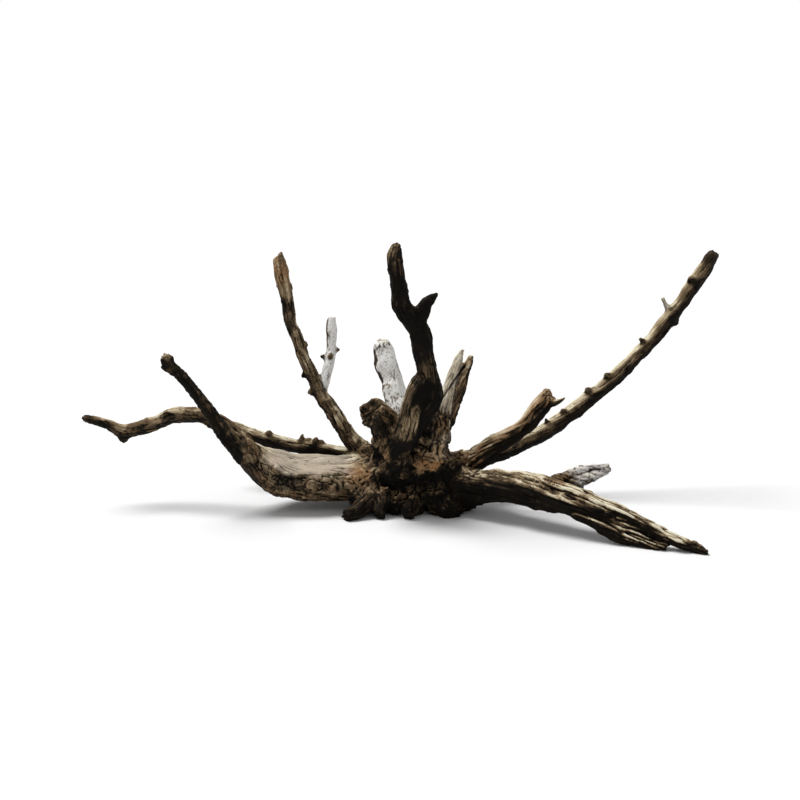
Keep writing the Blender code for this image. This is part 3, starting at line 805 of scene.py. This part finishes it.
# The front of the thick left root is painted lighter, as light on its shaded front, and lighter
# higher up, with darker cracks between its bark flakes.
on_root = on_left * ramp(-place[:, 0], 30, 44) * (1 - ramp(-place[:, 0], 96, 122))
facing = ramp(-broad[:, 1], -0.1, 0.6)
parted = (1 - plates) * bark_on * ramp(noise(place / 8 + 66), -0.05, 0.25)
flakes_and_front_light = 0.4 + 0.16 * ramp(place[:, 2], 14, 28) + 0.45 * patchy - 0.5 * parted
tone = tone + on_root * facing * flakes_and_front_light
# The front of the right foot is painted darker, as shade, most near the crown and least where its
# upper side faces the light.
on_foot = (found["limb"] == list(LIMBS).index("right_foot")) * (1 - crown)
in_shade = 0.65 - 0.4 * ramp(place[:, 0], 95, 125)
tone = tone - on_foot * facing * in_shade * (1 - 0.8 * bleached_and_lit)
tone = tone + curls * (0.35 * (ribs - 0.5) + 0.1)
# Along the grain, crests are lighter and grooves darker: grain colour, with painted shade in the
# grooves and painted highlight on the crests.
tone = tone + depth * limb_share * (0.22 * (ridges - 0.45) + 0.3 * ripples)
tone = tone + frayed * (0.95 * (np.minimum(strands, 0.9) - 0.5))
tone = tone * (1 - ledge) + ledge * (LEDGE_TONE + 0.1 * patchy) - 0.28 * ledge_edge
white = np.maximum(white, LEDGE_WHITE * ledge)
for spot, reach, light, rusty in PATCHES:
    away = np.linalg.norm(place - spot, axis=1) / reach + 0.5 * patchy + 0.3 * ribs
    near = 1 - ramp(away, 0.65, 1.1)
    tone = tone + near * PATCH_STRENGTH * (light - tone)
    rust = np.maximum(rust, near * rusty)
    if light > LIGHT_PATCH:
        bark_on = bark_on * (1 - near)
    white = white * (1 - near * (light < LIGHT_PATCH))
# Small nubs are the scars of twigs, and dark.
LARGEST_SCAR = 3.5
SCAR_MARGIN = 1.2
SCAR_TONE = 0.24
twig_scar = np.zeros(len(place), np.float32)
for x, y, z, radius in NUBS:
    if radius < LARGEST_SCAR:
        away = np.linalg.norm(place - (x, y, z), axis=1) / (radius + SCAR_MARGIN) + 0.3 * patchy
        twig_scar = np.maximum(twig_scar, 1 - ramp(away, 0.7, 1.1))
tone = tone + twig_scar * PATCH_STRENGTH * (SCAR_TONE - tone)
white = white * (1 - twig_scar)
# Hollows, cracks and pits are painted dark, as shade, and crests lighter, as rubbed wear and
# painted highlight.
tone = tone + (0.18 - 0.08 * crown) * crest - 0.6 * hollow - 0.1 * torn
# Bleached wood keeps scabs of bark on its shaded side, and dark specks near its edges and foot.
SPECK_SIZE = (1.9, 1.9, 2.6)
SCAB_TONE = 0.2
shaded_side = -0.8 * broad[:, 0] - 0.5 * broad[:, 2] + 0.8 * patchy
scab = ramp(shaded_side, 0.38, 0.46) * (1 - ramp(broad[:, 1] + 0.6 * patchy, 0.0, 0.2))
scab = np.maximum(scab, ramp(seam, 0.25, 0.6)) * ramp(white, 0.2, 0.55)
speck_gap, _ = cells(place / SPECK_SIZE + wave * 0.8 + 71)
edged = 1.2 * ramp(-broad[:, 0], 0.1, 0.9) + ramp(104 - place[:, 2], 0, 34) + 0.9 * patchy
edged = edged + ramp(place[:, 2], 112, 122) * (place[:, 0] > -40)
specks = (1 - ramp(speck_gap, 0.3, 0.4)) * ramp(edged, 0.35, 0.8) * ramp(white, 0.2, 0.6)
dark_mark = np.maximum(scab, specks)
tone = tone + dark_mark * (SCAB_TONE + 0.15 * patchy - tone)
white = white * (1 - dark_mark) * (1 - 0.5 * torn)
# In hollows the white is dulled, as painted shade.
marks = {
    "tone": tone, "bare": 1 - bark_on, "white": white * (1 - 0.7 * hollow),
    "rusty": rust * ramp(patchy, -0.45, 0.25), "solid": np.maximum(craggy, torn), "calm": ledge,
}

# Driftwood: finished mesh
# The low points are worn flat where the piece lies. Facets go where the surface bends most.
FACETS = 196000
points[:, 2] = np.maximum(points[:, 2], -CROWN_AT.z)
write_points(wood, points)
tree = kdtree.KDTree(len(points))
for index, point in enumerate(points.tolist()):
    tree.insert(point, index)
tree.balance()
carrier = bpy.data.objects.new("carrier", wood)
bpy.context.scene.collection.objects.link(carrier)
thin = carrier.modifiers.new("facets", "DECIMATE")
thin.ratio = FACETS / (len(wood.loops) - 2 * len(wood.polygons))
thin.use_collapse_triangulate = True
graph = bpy.context.evaluated_depsgraph_get()
mesh = bpy.data.meshes.new_from_object(carrier.evaluated_get(graph))
bpy.data.objects.remove(carrier)
source = np.array([tree.find(point)[1] for point in read_points(mesh).tolist()])
for name, values in marks.items():
    mark = mesh.attributes.new(name, "FLOAT", "POINT")
    mark.data.foreach_set("value", np.ascontiguousarray(values[source], np.float32))
mark = mesh.attributes.new("grain", "FLOAT_VECTOR", "POINT")
mark.data.foreach_set("vector", np.ascontiguousarray(grain[source] * MM, np.float32).ravel())
mesh.shade_smooth()
spots = read_points(mesh) + np.array(CROWN_AT, np.float32)
spots[:, 2] = np.maximum(spots[:, 2], 0)
write_points(mesh, spots)
driftwood = bpy.data.objects.new("driftwood_finished", mesh)
bpy.context.scene.collection.objects.link(driftwood)

# Driftwood: finish
# Dry wood, matt all over. Its tone runs from near black in the hollows and on the undersides,
# which are painted shade, through brown, to cream on the upper sides, which are bleached and
# painted lighter as if lit. Bark is greyer than bare wood.
BARK_TONES = (
    (0.0, (0.004, 0.0034, 0.0022)), (0.3, (0.024, 0.018, 0.0115)), (0.55, (0.080, 0.062, 0.037)),
    (0.8, (0.19, 0.155, 0.100)), (1.0, (0.38, 0.33, 0.235)),
)
BARE_TONES = (
    (0.0, (0.007, 0.005, 0.003)), (0.25, (0.045, 0.030, 0.016)), (0.5, (0.150, 0.104, 0.058)),
    (0.7, (0.33, 0.250, 0.150)), (0.86, (0.58, 0.495, 0.335)), (1.0, (0.78, 0.72, 0.55)),
)
WHITE = (0.95, 0.945, 0.92)
SPECK = (0.10, 0.065, 0.035)
RUST = (0.36, 0.165, 0.060)
SHINE = 0.1
# The size of each pattern's features, in metres, and how much longer they are along the grain.
STREAK_SIZE = 0.7 * MM
STREAK_LENGTH = 16
BAND_SIZE = 2.4 * MM
BAND_LENGTH = 12
BLOTCH_SIZE = 6 * MM
FLECK_SIZE = 1.3 * MM
DUST_SIZE = 0.5 * MM
# How much the patterns change the tone, and how much less so where the wood is calm.
LIVELY = 1.9
CALMING = -1.3
DUSTY = 0.45
BUMP_STRENGTH = 0.7
BUMP_HEIGHT = 0.5 * MM

weathered = bpy.data.materials.new("weathered_wood")
weathered.use_nodes = True
nodes = weathered.node_tree.nodes
links = weathered.node_tree.links
shader = nodes["Principled BSDF"]
shader.inputs["Specular IOR Level"].default_value = SHINE


def plug(socket, value):
    """Set a socket to a number or colour, or link it."""
    if isinstance(value, bpy.types.NodeSocket):
        links.new(value, socket)
    elif isinstance(value, tuple):
        socket.default_value = (*value, 1)
    else:
        socket.default_value = value


def mark_of(name, output="Fac"):
    """A mark that the mesh carries."""
    node = nodes.new("ShaderNodeAttribute")
    node.attribute_type = "GEOMETRY"
    node.attribute_name = name
    return node.outputs[output]


def speckle(place, size, detail=3.0, stretch=1.0):
    """Noise of 0 to 1 with features of that size in metres, longer along the third axis."""
    node = nodes.new("ShaderNodeMapping")
    node.inputs["Scale"].default_value = (1 / size, 1 / size, 1 / (size * stretch))
    links.new(place, node.inputs["Vector"])
    texture = nodes.new("ShaderNodeTexNoise")
    texture.inputs["Scale"].default_value = 1.0
    texture.inputs["Detail"].default_value = detail
    links.new(node.outputs["Vector"], texture.inputs["Vector"])
    return texture.outputs["Fac"]


def between(value, low, high, top=1.0):
    """0 under low, rising to top at high."""
    node = nodes.new("ShaderNodeMapRange")
    node.interpolation_type = "SMOOTHSTEP"
    plug(node.inputs["From Min"], low)
    plug(node.inputs["From Max"], high)
    plug(node.inputs["To Max"], top)
    plug(node.inputs["Value"], value)
    return node.outputs["Result"]


def figure(operation, first, second, third=0.0):
    """One step of arithmetic."""
    node = nodes.new("ShaderNodeMath")
    node.operation = operation
    for socket, value in zip(node.inputs, (first, second, third)):
        plug(socket, value)
    return node.outputs["Value"]


def blend(share, first, second):
    """The first colour, turning into the second where share is 1."""
    node = nodes.new("ShaderNodeMix")
    node.data_type = "RGBA"
    plug(node.inputs["Factor"], share)
    plug(node.inputs[6], first)
    plug(node.inputs[7], second)
    return node.outputs[2]


def scale_of(tones, value):
    """A colour for each tone."""
    node = nodes.new("ShaderNodeValToRGB")
    stops = node.color_ramp.elements
    while len(stops) < len(tones):
        stops.new(0.5)
    for stop, (position, colour) in zip(stops, tones):
        stop.position = position
        stop.color = (*colour, 1)
    links.new(value, node.inputs["Fac"])
    return node.outputs["Color"]


grain_place = mark_of("grain", "Vector")
solid_place = nodes.new("ShaderNodeTexCoord").outputs["Object"]
streaks = speckle(grain_place, STREAK_SIZE, 4.0, STREAK_LENGTH)
bands = speckle(grain_place, BAND_SIZE, 3.0, BAND_LENGTH)
blotches = speckle(solid_place, BLOTCH_SIZE, 4.0)
flecks = speckle(solid_place, FLECK_SIZE, 4.0)
dust = speckle(solid_place, DUST_SIZE, 2.0)
solid = mark_of("solid")

# On limbs the pattern is long, and in the crown and on torn ends mostly round.
long_figure = figure("MULTIPLY_ADD", bands, 0.5, figure("MULTIPLY", streaks, 0.5))
round_figure = figure("MULTIPLY_ADD", blotches, 0.4, figure("MULTIPLY", flecks, 0.6))
mixed = nodes.new("ShaderNodeMix")
plug(mixed.inputs["Factor"], figure("MULTIPLY_ADD", solid, 0.7, 0.2))
plug(mixed.inputs[2], long_figure)
plug(mixed.inputs[3], round_figure)
mixed = mixed.outputs[0]
lively = figure("MULTIPLY_ADD", mark_of("calm"), CALMING, LIVELY)
tone = figure("MULTIPLY_ADD", figure("SUBTRACT", mixed, 0.5), lively, mark_of("tone"))
tone = figure("MULTIPLY_ADD", figure("SUBTRACT", dust, 0.5), DUSTY, tone)
colour = blend(mark_of("bare"), scale_of(BARK_TONES, tone), scale_of(BARE_TONES, tone))
rusty = figure("MULTIPLY", mark_of("rusty"), between(tone, 0.15, 0.6, 0.8))
colour = blend(rusty, colour, RUST)
white = blend(between(flecks, 0.57, 0.66, 0.8), WHITE, SPECK)
white = blend(between(streaks, 0.5, 0.75, 0.35), white, SPECK)
colour = blend(mark_of("white"), colour, white)
links.new(colour, shader.inputs["Base Color"])
links.new(figure("MULTIPLY_ADD", streaks, -0.3, 0.98), shader.inputs["Roughness"])

relief = figure("MULTIPLY_ADD", dust, 0.4, figure("MULTIPLY_ADD", mixed, 1.6, flecks))
bump = nodes.new("ShaderNodeBump")
bump.inputs["Strength"].default_value = BUMP_STRENGTH
bump.inputs["Distance"].default_value = BUMP_HEIGHT
links.new(relief, bump.inputs["Height"])
links.new(bump.outputs["Normal"], shader.inputs["Normal"])
mesh.materials.append(weathered)
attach(driftwood, "root")
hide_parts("driftwood")

# Floor
# A plain pale floor of painted board, large enough to fill the picture.
# The piece lies on it.
FLOOR_SIZE = 60
FLOOR_TONE = (0.86, 0.86, 0.86, 1)
FLOOR_ROUGHNESS = 0.9
bpy.ops.mesh.primitive_plane_add(size=FLOOR_SIZE)
floor = bpy.context.object
floor.name = "floor"
paper = bpy.data.materials.new("paper")
paper.use_nodes = True
paper.node_tree.nodes["Principled BSDF"].inputs["Base Color"].default_value = FLOOR_TONE
paper.node_tree.nodes["Principled BSDF"].inputs["Roughness"].default_value = FLOOR_ROUGHNESS
floor.data.materials.append(paper)

# Light
# The background is plain white, as in a shop photograph, but lights the piece less than that.
# A large soft lamp above, behind and to the left leaves the front in shade.
SKY_LIGHT = 0.42
LAMP_FROM = Vector((-0.4, 0.25, 0.88))
LAMP_STRENGTH = 2.9
LAMP_ANGLE = math.radians(28)
world = bpy.data.worlds.new("world")
world.use_nodes = True
sky_nodes = world.node_tree.nodes
sky = sky_nodes["Background"]
sky.inputs["Color"].default_value = (1, 1, 1, 1)
rays = sky_nodes.new("ShaderNodeLightPath")
seen = sky_nodes.new("ShaderNodeMapRange")
seen.inputs["To Min"].default_value = SKY_LIGHT
seen.inputs["To Max"].default_value = 1.0
world.node_tree.links.new(rays.outputs["Is Camera Ray"], seen.inputs["Value"])
world.node_tree.links.new(seen.outputs["Result"], sky.inputs["Strength"])
bpy.context.scene.world = world
light = bpy.data.lights.new("key", "SUN")
light.energy = LAMP_STRENGTH
light.angle = LAMP_ANGLE
key = bpy.data.objects.new("key", light)
key.rotation_euler = LAMP_FROM.to_track_quat("Z", "Y").to_euler()
bpy.context.scene.collection.objects.link(key)
bpy.context.scene.view_settings.view_transform = "Standard"
